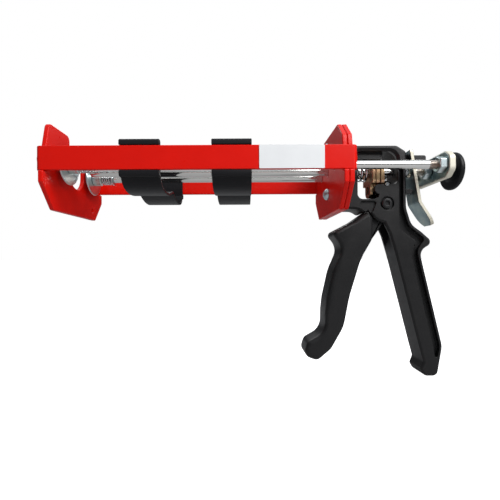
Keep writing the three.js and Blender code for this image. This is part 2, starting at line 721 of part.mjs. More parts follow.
function bodyCasting() {
  const W = BODY_HALF;
  let solid = toSolid(prismY(castingOutline(), W, 1.6, 1));
  solid = cut(solid, prismY(castingWindow(), W + 1), prismY(triggerSpace(), CHEEK_GAP));

  // central rib under the top arm
  const rib = prismBetween(rectangle(1, GRIP_TOP + 1.4, GRIP_END + 0.6, BODY_TOP - 1, 1), -6, 6);
  // tongue that holds the release lever, and the two stops in front of it
  const hookTop = LEVER_Z + HOOK_HEIGHT / 2;
  const hook = prismY(
    outline([
      [POST_END - 6, hookTop - HOOK_HEIGHT],
      [POST_END + 22, hookTop - HOOK_HEIGHT, 1],
      [POST_END + 22, hookTop, 2],
      [POST_END - 6, hookTop],
    ]),
    HOOK_HALF,
  );
  solid = solid.add(toSolid(rib)).add(toSolid(hook));
  for (const side of [-1, 1]) {
    const stop = outline([
      [POST_END - 4, -23.5],
      [POST_END + 6.6, -23.5, 2],
      [POST_END + 6.6, -18.8, 2],
      [POST_END - 4, -18.8],
    ]);
    solid = solid.add(toSolid(prismBetween(stop, side * 8 - 2.2, side * 8 + 2.2)));
  }

  // bore for the return spring, bores for the centre rod, tapped holes for the mounting bolts
  solid = cut(
    solid,
    rod(SPRING_SEAT, BOX_LENGTH + 1, SPRING_BORE_R, 0, 0, 28),
    rod(-1, SPRING_SEAT + 1, ROD_R + RUNNING, 0, 0),
    rod(WINDOW_END - 3, POST_END + 2, ROD_R + RUNNING, 0, 0),
    rod(-1, BOLT_REACH + 1, BOLT_R + GAP, 0, BOLT_OFFSET, 16),
    rod(-1, BOLT_REACH + 1, BOLT_R + GAP, 0, -BOLT_OFFSET, 16),
    crossRod(-W - 1, W + 1, PIVOT_R + GAP, PIVOT_X, PIVOT_Z),
  );

  // flanks relieved beside the rear post and down into the horn, along the handle's back, and beside the lower arm
  for (const side of [-1, 1]) {
    const channel = outline([
      [WINDOW_END + 1.2, 2, 1.5],
      [POST_END - 3.2, 2, 1.5],
      [POST_END - 3.2, PIVOT_Z - 5, 12],
      [POST_END + 2, PIVOT_Z - 21, 8],
      [POST_END + 17, PIVOT_Z - 33.5, 3],
      ...handleBack(HANDLE_LIP),
      [POST_END + 27, PIVOT_Z - 152, 4],
      ...handleBack(HANDLE_LIP + HANDLE_GROOVE).reverse(),
      [POST_END + 9, PIVOT_Z - 36, 2],
      [POST_END - 6.5, PIVOT_Z - 24.5, 6],
      [WINDOW_END + 1.2, PIVOT_Z - 8, 10],
    ]);
    const flank = outline([
      [BOX_LENGTH + 3, -30.5, 2],
      [SNOUT_X - 2.2, -30.5, 2],
      [SNOUT_X - 6.5, -41, 2],
      [BOX_LENGTH + 6, -39.5, 2],
      [BOX_LENGTH + 1, -35.8, 2],
    ]);
    const carve = (shape, depth) => {
      const inner = side < 0 ? -W - 1 : W - depth;
      return prismBetween(shape, inner, inner + depth + 1);
    };
    solid = cut(solid, carve(channel, RELIEF_DEPTH), carve(flank, FLANK_DEPTH), armChamfer(side));
  }

  // round recess for the pivot bolt's head
  solid = cut(solid, crossRod(-W - 1, -W + PIVOT_SINK_DEPTH, PIVOT_SINK_R, PIVOT_X, PIVOT_Z, 32));
  return toGeometry(solid);
}

// ---------------------------------------------------------------------------------- drive

// Drive plate: carries the spring load and hangs a slotted tongue between the cheeks.
function drivePlate() {
  const x0 = DRIVE_PLATE_AT;
  const shape = outline([
    ...arc(0, GRIP_TOP - GRIP_HALF_WIDTH, GRIP_HALF_WIDTH, 150, 30, 8),
    [GRIP_HALF_WIDTH, 2, 2],
    [GRIP_HALF_WIDTH, GRIP_BOTTOM, 1],
    [TONGUE_HALF, GRIP_BOTTOM, 1],
    [TONGUE_HALF, TONGUE_BOTTOM, TONGUE_HALF],
    [-TONGUE_HALF, TONGUE_BOTTOM, TONGUE_HALF],
    [-TONGUE_HALF, GRIP_BOTTOM, 1],
    [-GRIP_HALF_WIDTH, GRIP_BOTTOM, 1],
    [-GRIP_HALF_WIDTH, 2, 2],
  ].reverse());
  const slot = rectangle(-2.3, TONGUE_BOTTOM + 3, 2.3, GRIP_BOTTOM - 1, 2.2);
  return toGeometry(
    cut(
      toSolid(prismX(shape, x0, x0 + DRIVE_PLATE_THICK)),
      prismX(slot, x0 - 1, x0 + DRIVE_PLATE_THICK + 1),
      rod(x0 - 1, x0 + DRIVE_PLATE_THICK + 1, ROD_R + RUNNING),
    ),
  );
}

// Grip plate: one of two that jam on the centre rod and drag it forward.
function gripPlate(x0) {
  const shape = outline([
    ...arc(0, GRIP_TOP - GRIP_HALF_WIDTH, GRIP_HALF_WIDTH, 30, 150, 8),
    [-GRIP_HALF_WIDTH, 2, 2],
    [-GRIP_HALF_WIDTH, GRIP_BOTTOM, 1],
    [-TONGUE_HALF, GRIP_BOTTOM, 1],
    [-TONGUE_HALF, GRIP_TAB_BOTTOM, 2],
    [TONGUE_HALF, GRIP_TAB_BOTTOM, 2],
    [TONGUE_HALF, GRIP_BOTTOM, 1],
    [GRIP_HALF_WIDTH, GRIP_BOTTOM, 1],
    [GRIP_HALF_WIDTH, 2, 2],
  ]);
  const plate = toSolid(prismX(shape, x0, x0 + GRIP_PLATE_THICK, 0.4));
  return toGeometry(cut(plate, rod(x0 - 1, x0 + GRIP_PLATE_THICK + 1, ROD_R + RUNNING)));
}

function drive() {
  place(body, "drive_plate", CHROMATE, drivePlate());
  place(body, "grip_plate_front", CHROMATE, gripPlate(GRIP_AT));
  place(body, "grip_plate_rear", CHROMATE, gripPlate(GRIP_AT + GRIP_PLATE_THICK + GAP));
  const spring = coil(SPRING_SEAT + GAP, DRIVE_PLATE_AT - GAP, SPRING_R, SPRING_WIRE_R, SPRING_TURNS);
  place(body, "return_spring", SPRING_STEEL, spring);
}

// ---------------------------------------------------------------------------------- trigger

// Grip of the trigger, full width, from its horn down to its curled toe.
function triggerGrip() {
  const px = PIVOT_X;
  const pz = PIVOT_Z;
  return outline([
    ...arc(px, pz, CHEEK_R + 0.8, 202, 202, 1).slice(1),
    ...arc(px, pz, CHEEK_R + 0.8, 215, 224, 1),
    [px - 13.4, pz - 33, 12],
    [px - 24.5, pz - 52, 40],
    [px - 35.5, pz - 88, 60],
    [px - 41, pz - 116, 30],
    [px - 53, pz - 137, 12],
    [px - 66, pz - 148, 6],
    [px - 79.5, pz - 143, 8],
    [px - 75.5, pz - 130, 8],
    [px - 59, pz - 121, 16],
    [px - 58.5, pz - 95, 60],
    [px - 51, pz - 62, 30],
    [px - 41.5, pz - 41.5, 16],
    [px - 52.5, pz - 27.5, 4],
    [px - 31, pz - 16.5, 20],
  ].reverse());
}

// Core of the trigger: the web that passes between the cheeks and carries the nose.
function triggerCore() {
  const rx = ROLLER_X;
  const rz = PIVOT_Z + ROLLER_ABOVE_PIVOT;
  return outline([
    [rx - 3.6, rz + 3.6, 3],
    [rx + 3.8, rz + 3.6, 3],
    [PIVOT_X + 8.3, PIVOT_Z + 6, 6],
    [PIVOT_X + 7.6, PIVOT_Z - 2, 6],
    [PIVOT_X - 2.4, PIVOT_Z - 19.2, 4],
    [PIVOT_X - 16, PIVOT_Z - 38, 3],
    [PIVOT_X - 28, PIVOT_Z - 30, 3],
    [PIVOT_X - 17, PIVOT_Z - 10, 6],
    [PIVOT_X - 8.5, PIVOT_Z + 2, 5],
    [rx - 3.6, PIVOT_Z + 11, 2],
  ].reverse());
}

function trigger() {
  let solid = toSolid(prismY(triggerGrip(), TRIGGER_HALF, TRIGGER_ROUNDING, 2)).add(toSolid(prismY(triggerCore(), CORE_HALF)));
  const rx = ROLLER_X;
  const rz = PIVOT_Z + ROLLER_ABOVE_PIVOT;
  solid = cut(
    solid,
    crossRod(-ROLLER_HALF - GAP, ROLLER_HALF + GAP, ROLLER_R + 0.6, rx, rz),
    crossRod(-CORE_HALF - 1, CORE_HALF + 1, ROLLER_PIN_R + GAP, rx, rz, 16),
    crossRod(-CORE_HALF - 1, CORE_HALF + 1, PIVOT_R + RUNNING, PIVOT_X, PIVOT_Z),
  );
  place(body, "trigger", BLACK_CAST, toGeometry(solid));
  const roller = cut(
    toSolid(crossRod(-ROLLER_HALF, ROLLER_HALF, ROLLER_R, rx, rz, 28)),
    crossRod(-ROLLER_HALF - 1, ROLLER_HALF + 1, ROLLER_PIN_R + GAP, rx, rz, 16),
  );
  place(body, "nose_roller", SPRING_STEEL, toGeometry(roller));
  place(body, "roller_pin", SPRING_STEEL, crossRod(-CORE_HALF, CORE_HALF, ROLLER_PIN_R, rx, rz, 16));
}

// Pivot bolt with a socket head on the left cheek, and its nut on the right.
function pivot() {
  const headAt = -BODY_HALF + PIVOT_SINK_DEPTH - GAP;
  const nutAt = BODY_HALF + GAP;
  const profile = [
    [headAt - PIVOT_HEAD_HEIGHT, 0],
    [headAt - PIVOT_HEAD_HEIGHT, PIVOT_HEAD_R - 1],
    [headAt - PIVOT_HEAD_HEIGHT + 0.8, PIVOT_HEAD_R],
    [headAt, PIVOT_HEAD_R],
    [headAt, PIVOT_R],
    [nutAt + PIVOT_NUT_THICK + 1, PIVOT_R],
    [nutAt + PIVOT_NUT_THICK + 1, 0],
  ];
  const key = outline(arc(PIVOT_X, PIVOT_Z, PIVOT_KEY / Math.sqrt(3), 0, 300, 5));
  const socket = prismBetween(key, headAt - PIVOT_HEAD_HEIGHT - 1, headAt - 1.2);
  const bolt = cut(toSolid(turnedY(profile, PIVOT_X, PIVOT_Z)), socket);
  place(body, "pivot_bolt", BLACK_CAST, toGeometry(bolt));
  const hex = outline(arc(PIVOT_X, PIVOT_Z, NUT_ACROSS / Math.sqrt(3), 0, 300, 5));
  const nut = cut(
    toSolid(prismBetween(hex, nutAt, nutAt + PIVOT_NUT_THICK)),
    crossRod(nutAt - 1, nutAt + PIVOT_NUT_THICK + 1, PIVOT_R + GAP, PIVOT_X, PIVOT_Z),
  );
  place(body, "pivot_nut", ZINC, toGeometry(nut));
}

// ---------------------------------------------------------------------------------- release lever

// Bent strip: slotted over the hook, drilled for the centre rod, ending in a round thumb tab.
function releaseLever() {
  const top = 6.6;
  const bendAt = -44; // along the strip, from the hook
  const tab = 25;
  const along = (s, tilt) => new THREE.Vector2(Math.sin(tilt) * s, -Math.cos(tilt) * s);
  const origin = new THREE.Vector2(LEVER_X, LEVER_Z);
  const upper = origin.clone().add(along(-top, LEVER_TILT));
  const knee = origin.clone().add(along(-bendAt, LEVER_TILT));
  const tip = knee.clone().add(along(tab, THUMB_TILT));
  const half = LEVER_THICK / 2;
  const offset = (p, tilt, side) => [p.x + side * half * Math.cos(tilt), p.y + side * half * Math.sin(tilt)];
  const meanTilt = (LEVER_TILT + THUMB_TILT) / 2;
  const strip = outline([
    offset(upper, LEVER_TILT, -1),
    [...offset(knee, meanTilt, -1), 9],
    offset(tip, THUMB_TILT, -1),
    offset(tip, THUMB_TILT, 1),
    [...offset(knee, meanTilt, 1), 6],
    offset(upper, LEVER_TILT, 1),
  ]);
  // seen along X the strip has a round lower end and nipped upper corners
  const face = outline([
    ...arc(0, tip.y + LEVER_HALF * 0.8, LEVER_HALF, 180, 360, 12),
    [LEVER_HALF, upper.y + 1, 3],
    [-LEVER_HALF, upper.y + 1, 3],
  ]);
  const solid = toSolid(prismY(strip, LEVER_HALF + 1)).intersect(toSolid(prismX(face, LEVER_X - 20, LEVER_X + 60)));
  const slotHalf = HOOK_HEIGHT / 2 + 0.9;
  const slot = rectangle(-HOOK_HALF - 0.8, LEVER_Z - slotHalf, HOOK_HALF + 0.8, LEVER_Z + slotHalf, 0.6);
  const eye = rectangle(-ROD_R - 0.7, -ROD_R - 1.6, ROD_R + 0.7, ROD_R + 1.6, ROD_R);
  return toGeometry(
    cut(solid, prismX(slot, LEVER_X - 12, LEVER_X + 12), prismX(eye, LEVER_X - 12, LEVER_X + 14)),
  );
}

function release() {
  place(body, "release_lever", ZINC, releaseLever());
  const front = LEVER_X + (LEVER_Z - RELEASE_SPRING_R) * Math.tan(LEVER_TILT) - LEVER_THICK / 2;
  const spring = coil(POST_END + GAP, front - 1, RELEASE_SPRING_R, RELEASE_WIRE_R, RELEASE_TURNS);
  place(body, "release_spring", SPRING_STEEL, spring);
}

// Bolts that hold the casting to the rear plates: round heads inside the bay.
function mountingBolt(z) {
  const head = -REAR_STACK - 2 * GAP;
  return turned(
    [
      [head - BOLT_HEAD_HEIGHT, 0],
      [head - BOLT_HEAD_HEIGHT, BOLT_HEAD_R * 0.54],
      [head - BOLT_HEAD_HEIGHT * 0.62, BOLT_HEAD_R * 0.9],
      [head, BOLT_HEAD_R],
      [head, BOLT_R],
      [BOLT_REACH, BOLT_R],
      [BOLT_REACH, 0],
    ],
    0,
    z,
    20,
  );
}

// ---------------------------------------------------------------------------------- build

carriage();
label();
place(gun, "saddle_front", BLACK_PLASTIC, saddle(FRONT_SADDLE_AT));
place(gun, "saddle_rear", BLACK_PLASTIC, saddle(REAR_SADDLE_AT));
plunger();
place(body, "body_casting", BLACK_CAST, bodyCasting());
place(body, "mounting_bolt_upper", ZINC, mountingBolt(BOLT_OFFSET));
place(body, "mounting_bolt_lower", ZINC, mountingBolt(-BOLT_OFFSET));
drive();
trigger();
pivot();
release();

export default gun;
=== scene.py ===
import json
from math import cos, pi, radians, sin

import bmesh
import bpy
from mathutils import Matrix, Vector

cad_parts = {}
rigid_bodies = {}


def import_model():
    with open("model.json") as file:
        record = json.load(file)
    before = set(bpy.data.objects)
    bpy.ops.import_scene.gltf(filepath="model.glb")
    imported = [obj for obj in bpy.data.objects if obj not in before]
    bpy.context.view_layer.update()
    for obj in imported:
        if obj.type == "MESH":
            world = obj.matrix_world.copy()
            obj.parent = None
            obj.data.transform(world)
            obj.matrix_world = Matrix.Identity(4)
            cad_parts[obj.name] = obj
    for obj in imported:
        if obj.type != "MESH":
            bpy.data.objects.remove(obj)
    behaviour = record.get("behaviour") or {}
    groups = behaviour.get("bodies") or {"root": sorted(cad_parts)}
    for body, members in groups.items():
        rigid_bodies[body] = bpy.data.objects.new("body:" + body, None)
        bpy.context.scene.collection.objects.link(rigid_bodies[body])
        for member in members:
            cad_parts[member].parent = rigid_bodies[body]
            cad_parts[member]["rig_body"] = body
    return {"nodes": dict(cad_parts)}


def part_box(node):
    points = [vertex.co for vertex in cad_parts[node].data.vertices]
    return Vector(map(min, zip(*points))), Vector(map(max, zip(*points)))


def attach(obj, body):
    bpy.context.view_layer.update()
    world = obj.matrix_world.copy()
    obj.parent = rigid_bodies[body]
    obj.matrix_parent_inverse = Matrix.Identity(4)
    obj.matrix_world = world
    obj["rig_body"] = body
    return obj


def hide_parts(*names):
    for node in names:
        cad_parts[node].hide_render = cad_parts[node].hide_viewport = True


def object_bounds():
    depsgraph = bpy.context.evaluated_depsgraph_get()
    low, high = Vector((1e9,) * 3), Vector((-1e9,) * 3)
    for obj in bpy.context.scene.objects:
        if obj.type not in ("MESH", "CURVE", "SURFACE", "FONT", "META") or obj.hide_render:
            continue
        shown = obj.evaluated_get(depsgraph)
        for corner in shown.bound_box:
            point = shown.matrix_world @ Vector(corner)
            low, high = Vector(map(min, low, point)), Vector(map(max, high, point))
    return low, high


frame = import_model()
cad_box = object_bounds()

# Twin-cartridge caulking gun. Metres, in the frame's own axes: +X runs from the nozzle end to the pull
# knob, +Z is up, and the handles hang below. Y = 0 is the plane between the two cartridges.

# ------------------------------------------------------------------------------------ camera and lamps
# A wide lens close to the left side. A soft lamp stands above it at the knob end, so that the light falls
# off towards the nozzle, and a long strip behind puts an edge on the black parts.

CAMERA_PLACE = (0.1635, -0.331, -0.0555)
CAMERA_ROLL = radians(0.25)
LENS_MM = 24.4
SENSOR_MM = 36
LENS_SHIFT = (0.01, 0.018)
NEAREST_SEEN = 0.01

camera = bpy.data.objects.new("camera", bpy.data.cameras.new("camera"))
camera.location = CAMERA_PLACE
camera.rotation_euler = (radians(90), CAMERA_ROLL, 0)
camera.data.lens = LENS_MM
camera.data.sensor_width = SENSOR_MM
camera.data.shift_x, camera.data.shift_y = LENS_SHIFT
camera.data.clip_start = NEAREST_SEEN
bpy.context.scene.collection.objects.link(camera)
bpy.context.scene.camera = camera
bpy.context.scene.view_settings.view_transform = "Standard"


def lamp(name, place, aim, size, watts):
    light = bpy.data.lights.new(name, "AREA")
    light.shape = "RECTANGLE"
    light.size, light.size_y = size
    light.energy = watts
    made = bpy.data.objects.new(name, light)
    made.location = place
    made.rotation_mode = "QUATERNION"
    made.rotation_quaternion = (Vector(place) - Vector(aim)).to_track_quat("Z", "Y")
    bpy.context.scene.collection.objects.link(made)


lamp("soft_top", place=(0.72, -0.62, 0.62), aim=(0.2, 0, 0), size=(0.7, 0.55), watts=11.5)
lamp("rear_strip", place=(0.2, 0.9, 0.7), aim=(0.16, 0, 0), size=(1.4, 0.3), watts=5)

# -------------------------------------------------------------------------------------- table and room
# A matt sheet under the gun, in a pale room. What the camera sees of them directly is plain white, so that
# no edge shows behind the gun. What lights the gun is graded, so that bright metal has dark to reflect.


class Wire:
    """An output of a node. Arithmetic on it adds Math nodes."""

    def __init__(self, nodes, socket):
        self.nodes, self.socket = nodes, socket

    def math(self, operation, *terms):
        return self.nodes.node("ShaderNodeMath", {"operation": operation}, dict(enumerate(terms)))

    def __add__(self, other):
        return self.math("ADD", self, other)

    def __mul__(self, other):
        return self.math("MULTIPLY", self, other)

    def __rsub__(self, other):
        return self.math("SUBTRACT", other, self)

    __radd__, __rmul__ = __add__, __mul__

    def between(self, low, high):
        """0 below low, 1 above high, smooth in between."""
        return self.nodes.node(
            "ShaderNodeMapRange", {"interpolation_type": "SMOOTHSTEP"}, {0: self, 1: low, 2: high}
        )


class Nodes:
    """An emptied node tree, to which nodes are added one at a time."""

    def __init__(self, tree):
        self.tree = tree
        tree.nodes.clear()

    def node(self, kind, settings=None, sockets=None, out=0):
        """Adds a node: its settings first, then its inputs, by values or by wires."""
        made = self.tree.nodes.new(kind)
        for key, value in (settings or {}).items():
            if key == "stops":
                ramp = made.color_ramp.elements
                while len(ramp) < len(value):
                    ramp.new(0.5)
                for element, (position, colour) in zip(ramp, value):
                    element.position = position
                    element.color = (*colour, 1)
            else:
                setattr(made, key, value)
        for key, value in (sockets or {}).items():
            if isinstance(value, Wire):
                self.tree.links.new(value.socket, made.inputs[key])
            else:
                made.inputs[key].default_value = value
        return Wire(self, made.outputs[out]) if made.outputs else None


class Finish(Nodes):
    """A surface finish: a Principled shader whose sockets are set, or fed by what its nodes make."""

    def __init__(self, name, even=None):
        self.material = bpy.data.materials.new(name)
        self.material.use_nodes = True
        super().__init__(self.material.node_tree)
        self.shader = self.tree.nodes.new("ShaderNodeBsdfPrincipled")
        self.node("ShaderNodeOutputMaterial", {}, {"Surface": Wire(self, self.shader.outputs[0])})
        self.place = self.node("ShaderNodeTexCoord", out="Object")
        for socket, value in (even or {}).items():
            self.feed(socket, value)

    def feed(self, socket, value):
        if isinstance(value, Wire):
            self.tree.links.new(value.socket, self.shader.inputs[socket])
        else:
            self.shader.inputs[socket].default_value = value

    def noise(self, per_metre, stretch=(1, 1, 1), detail=2.0, lumps=0.5):
        """Cloudy noise, 0 to 1, with per_metre lumps in a metre; stretch multiplies the place first."""
        place = self.node("ShaderNodeVectorMath", {"operation": "MULTIPLY"}, {0: self.place, 1: stretch})
        sockets = {"Vector": place, "Scale": per_metre, "Detail": detail, "Roughness": lumps}
        return self.node("ShaderNodeTexNoise", {}, sockets)

    def mix(self, share, first, second):
        """first where share is 0, second where it is 1."""
        first, second = (c if isinstance(c, Wire) else (*c, 1) for c in (first, second))
        return self.node("ShaderNodeMix", {"data_type": "RGBA"}, {0: share, 6: first, 7: second}, out=2)

    def shades(self, share, *stops):
        """Colours at stops (share, colour), blended in between."""
        return self.node("ShaderNodeValToRGB", {"stops": stops}, {0: share})

    def relief(self, height, depth):
        """Bumps the surface by height, which runs from 0 to 1, over depth metres."""
        self.feed("Normal", self.node("ShaderNodeBump", {}, {"Distance": depth, "Height": height}))


TABLE_SIZE = 40
TABLE_BELOW_GUN = 0.0006
TABLE_GREY = (0.35, 0.35, 0.35, 1)
TABLE_GLOW, TABLE_AS_SEEN = (0.05, 0.05, 0.055), (1.2, 1.2, 1.2)
SKY_LIGHT = ((0, 0.05), (0.2, 0.065), (0.6, 0.385), (1, 1))  # from the horizon to straight up
SKY_TINT = (0.92, 0.96, 1, 1)
NEAR_SIDE_FROM, NEAR_SIDE_LIGHT = -0.25, 0.18  # added light behind the camera, towards -Y
WHITE = (1, 1, 1, 1)

table_white = Finish("white_table", {"Base Color": TABLE_GREY, "Emission Strength": 1})
looked_at = table_white.node("ShaderNodeLightPath", out="Is Camera Ray")
table_white.feed("Emission Color", table_white.mix(looked_at, TABLE_GLOW, TABLE_AS_SEEN))
table_white.feed("Roughness", table_white.noise(3) * 0.1 + 0.85)
sheet = bmesh.new()
bmesh.ops.create_grid(sheet, x_segments=1, y_segments=1, size=TABLE_SIZE)
bmesh.ops.translate(sheet, verts=sheet.verts, vec=(0, 0, cad_box[0].z - TABLE_BELOW_GUN))
table = bpy.data.objects.new("table_top", bpy.data.meshes.new("table_top"))
sheet.to_mesh(table.data)
sheet.free()
table.data.materials.append(table_white.material)
bpy.context.scene.collection.objects.link(table)

world = bpy.data.worlds.new("white_room")
world.use_nodes = True
bpy.context.scene.world = world
room = Nodes(world.node_tree)
way = room.node("ShaderNodeTexCoord", out="Generated")
across = room.node("ShaderNodeSeparateXYZ", {}, {0: way}, out="Y")
upward = room.node("ShaderNodeSeparateXYZ", {}, {0: way}, out="Z")
sky_stops = [(height, (light, light, light)) for height, light in SKY_LIGHT]
overhead = room.node("ShaderNodeValToRGB", {"stops": sky_stops}, {0: upward})
near_side = room.node("ShaderNodeMapRange", {}, {0: across, 1: NEAR_SIDE_FROM, 2: -1, 4: NEAR_SIDE_LIGHT})
lit = room.node("ShaderNodeBackground", {}, {"Color": SKY_TINT, "Strength": overhead + near_side})
seen = room.node("ShaderNodeBackground", {}, {"Color": WHITE})
looked_at = room.node("ShaderNodeLightPath", out="Is Camera Ray")
both = room.node("ShaderNodeMixShader", {}, {0: looked_at, 1: lit, 2: seen})
room.node("ShaderNodeOutputWorld", {}, {"Surface": both})

# --------------------------------------------------------------------------- carriage plates and straps
# The nose plate, the two rear plates stacked face to face, and the two flat-bar straps. Mild steel,
# punched and folded, then powder coated red: glossy, with the orange peel that melted powder leaves.

MERGE_WITHIN = 2e-6
FLAT_WITHIN = radians(1)
PLATE_EDGE = 0.0007

red_powder = Finish(
    "red_powder_coat", {"Coat Weight": 0.06, "Coat Roughness": 0.15, "Specular IOR Level": 0.15}
)
red = red_powder.mix(red_powder.noise(28), (0.62, 0.005, 0.0015), (0.74, 0.007, 0.002))
grit = red_powder.noise(2600, detail=1).between(0.72, 0.78)
red_powder.feed("Base Color", red_powder.mix(grit, red, (0.76, 0.03, 0.015)))
red_powder.feed("Roughness", red_powder.noise(140, detail=3) * 0.14 + 0.24)
peel = red_powder.noise(420, detail=1.5) * 0.7 + red_powder.noise(1500, detail=1) * 0.3
red_powder.relief(peel, 0.00008)


def from_cad(node, flat_faces=False):
    """A merged copy of a CAD node's triangles. flat_faces joins the triangles of each flat face."""
    bm = bmesh.new()
    bm.from_mesh(frame["nodes"][node].data)
    bmesh.ops.remove_doubles(bm, verts=bm.verts, dist=MERGE_WITHIN)
    if flat_faces:
        bmesh.ops.dissolve_limit(bm, angle_limit=FLAT_WITHIN, verts=bm.verts, edges=bm.edges)
    return bm


def piece(node, bm, finish, edge=0.0, edge_steps=3, soft_below=32):
    """The shown piece for a CAD node. Edges over soft_below degrees stay crisp, or are rounded by edge."""
    mesh = bpy.data.meshes.new(node + "_finished")
    bm.to_mesh(mesh)
    bm.free()
    mesh.materials.append(finish.material)
    mesh.shade_smooth()
    mesh.set_sharp_from_angle(angle=radians(soft_below))
    made = bpy.data.objects.new(mesh.name, mesh)
    bpy.context.scene.collection.objects.link(made)
    if edge:
        rounding = made.modifiers.new("rounded_edges", "BEVEL")
        rounding.width = edge
        rounding.segments = edge_steps
        rounding.limit_method = "ANGLE"
        rounding.angle_limit = radians(soft_below)
        rounding.use_clamp_overlap = False
        rounding.loop_slide = False
        rounding.harden_normals = True
        flatter = made.modifiers.new("flat_faces", "WEIGHTED_NORMAL")
        flatter.keep_sharp = True
        flatter.weight = 100
    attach(made, frame["nodes"][node]["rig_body"])
    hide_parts(node)


for node in ("front_plate", "rear_plate_inner", "rear_plate_outer", "strap_left", "strap_right"):
    piece(node, from_cad(node, flat_faces=True), red_powder, edge=PLATE_EDGE)

# ----------------------------------------------------------------------------------------------- rivets
# Solid steel rivets through the straps' folded ends and the plates, set before the powder coat. Low
# domed heads outside, hammered flush in the bay.

RIVET_SHANK, RIVET_HEAD, RIVET_DOME = 0.0026, 0.005, 0.0007
SEAM_WITHIN = 1e-6  # where a turned piece closes on itself


def middle(node):
    low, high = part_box(node)
    return (low + high) / 2


def turned(node, profile, steps=72, along_y=False):
    """Spins [place along the axis, radius] points about the middle of a CAD node into a closed solid."""
    centre = middle(node)
    if profile[0][1]:
        profile = [*profile, profile[0]]  # a ring's section is a closed loop
    bm = bmesh.new()
    if along_y:
        points = [bm.verts.new((centre.x, place, centre.z + radius)) for place, radius in profile]
    else:
        points = [bm.verts.new((place, centre.y, centre.z + radius)) for place, radius in profile]
    edges = [bm.edges.new(pair) for pair in zip(points, points[1:])]
    axis = (0, 1, 0) if along_y else (1, 0, 0)
    bmesh.ops.spin(
        bm, geom=points + edges, cent=centre, axis=axis, angle=2 * pi, steps=steps, use_merge=True
    )
    bmesh.ops.remove_doubles(bm, verts=bm.verts, dist=SEAM_WITHIN)
    bmesh.ops.recalc_face_normals(bm, faces=bm.faces)
    return bm


for node in ("front_rivet_left", "front_rivet_right", "rear_rivet_left", "rear_rivet_right"):
    low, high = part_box(node)
    outward = 1 if node.startswith("rear") else -1
    flush, top = (low.x, high.x) if outward > 0 else (high.x, low.x)
    root = top - outward * RIVET_DOME
    turns = [radians(a) for a in range(0, 91, 10)]
    dome = [(root + outward * RIVET_DOME * sin(a), RIVET_HEAD * cos(a)) for a in turns]
    profile = [(flush, 0), (flush, RIVET_SHANK), (root, RIVET_SHANK), *dome]
    piece(node, turned(node, profile, steps=40), red_powder)

# ------------------------------------------------------------------------------------------------ label
# A blank stick-on label on the left strap: white vinyl film with a gloss that follows the orange peel of
# the powder coat under it.

label_film = Finish("label_film", {"Coat Weight": 0.2, "Coat Roughness": 0.2})
yellowing = label_film.noise(45, detail=4)
label_film.feed("Base Color", label_film.mix(yellowing, (0.74, 0.75, 0.76), (0.82, 0.83, 0.84)))
label_film.feed("Roughness", label_film.noise(300) * 0.15 + 0.32)
label_film.relief(label_film.noise(260, detail=2), 0.00005)
piece("label", from_cad("label"), label_film, edge=0.00012, edge_steps=2)

# ---------------------------------------------------------------------------------------------- saddles
# Two cradles that carry the cartridges, moulded in black nylon and clipped round both straps. The mould
# was fine-textured, so they gleam softly, and flow lines run across them.

SADDLE_EDGE = 0.0005

black_nylon = Finish("black_nylon", {"Specular IOR Level": 0.15})
grain = black_nylon.noise(2400, detail=2)
flow = black_nylon.noise(60, stretch=(0.25, 1, 1), detail=3)
black_nylon.feed("Base Color", black_nylon.mix(flow, (0.007, 0.007, 0.008), (0.014, 0.014, 0.016)))
black_nylon.feed("Roughness", flow * 0.15 + 0.33)
black_nylon.relief(grain * 0.4 + flow * 0.6, 0.00006)
for node in ("saddle_front", "saddle_rear"):
    piece(node, from_cad(node), black_nylon, edge=SADDLE_EDGE)

# -------------------------------------------------------------------------------------------- push rods
# Three 8 mm rods, drawn, ground and chromed. The side rods have a peened head in front of their discs,
# and each rod has an M8 thread at the yoke, left dark and stained with thread lock.

ROD = 0.004
THREAD_TOP, THREAD_ROOT, THREAD_PITCH = 0.0038, 0.0033, 0.00125
THREAD_CREST = THREAD_PITCH * 0.12
BARE_THREAD = 0.007  # in front of the lock nuts
THREAD_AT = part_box("lock_nut_centre")[0].x - BARE_THREAD
THREAD_START = THREAD_AT + 0.0002
YOKE_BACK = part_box("yoke")[1].x
RUN_OUT = 0.0006  # taper from the ground rod down to the thread
END_BREAK = 0.0005
HEAD_CROWN = [(0, 0.0042), (0.0003, 0.0050), (0.0009, 0.0058)]  # [depth behind its front, radius]
HEAD_RIM, HEAD_BREAK = 0.006, 0.0001
HEAD_CLEAR = 0.0003  # from head to disc

bright_chrome = Finish("bright_chrome", {"Metallic": 1})
along = bright_chrome.node("ShaderNodeSeparateXYZ", {}, {0: bright_chrome.place}, out="X")
threaded = along.between(THREAD_AT - 0.0015, THREAD_AT + 0.001)
drawn = bright_chrome.noise(1, stretch=(12, 2600, 2600), detail=2)
smears = bright_chrome.noise(50, stretch=(1, 2, 2), detail=4)
plated = bright_chrome.mix(smears, (0.66, 0.655, 0.63), (0.75, 0.745, 0.72))
stained = bright_chrome.mix(smears.between(0.4, 0.6), (0.30, 0.24, 0.19), (0.52, 0.47, 0.42))
bright_chrome.feed("Base Color", bright_chrome.mix(threaded, plated, stained))
bright_chrome.feed("Roughness", smears * 0.07 + drawn * 0.05 + threaded * 0.22 + 0.05)
bright_chrome.relief(drawn, 0.000004)


def thread(start, end):
    """Roots and crests of a thread, as [place along X, radius] points."""
    points = []
    for k in range(int((end - start) / THREAD_PITCH)):
        root = start + k * THREAD_PITCH
        top = root + THREAD_PITCH / 2
        points += [(root, THREAD_ROOT), (root + THREAD_CREST, THREAD_ROOT)]
        points += [(top, THREAD_TOP), (top + THREAD_CREST, THREAD_TOP)]
    return points


